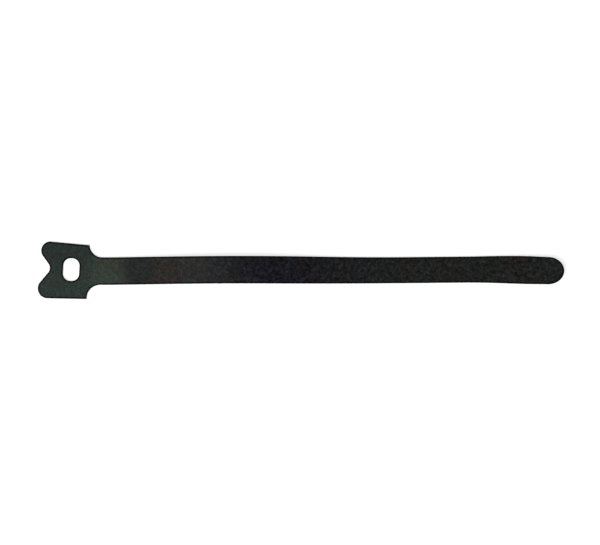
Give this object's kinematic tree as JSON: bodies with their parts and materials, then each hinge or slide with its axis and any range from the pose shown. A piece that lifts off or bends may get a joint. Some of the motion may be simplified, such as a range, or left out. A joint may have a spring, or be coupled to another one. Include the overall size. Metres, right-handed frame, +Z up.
{
  "type": "hook and loop cable tie",
  "caption": "Flat strap cable tie of back-to-back hook and loop tape, with a notched head, a slot to thread the strap through and a rounded tip.",
  "frame": {"origin": "on the table, under the middle of the tie's outline", "axes": "+X along the strap from the slotted head to the rounded tip, +Y across the strap, +Z up through the loop pile, hooks facing down"},
  "size_m": [0.2504, 0.0274, 0.0056],
  "materials": {
    "hook_and_loop_tape": "matte"
  },
  "bodies": {
    "root": {"cable_tie": "hook_and_loop_tape"}
  },
  "joints": []
}
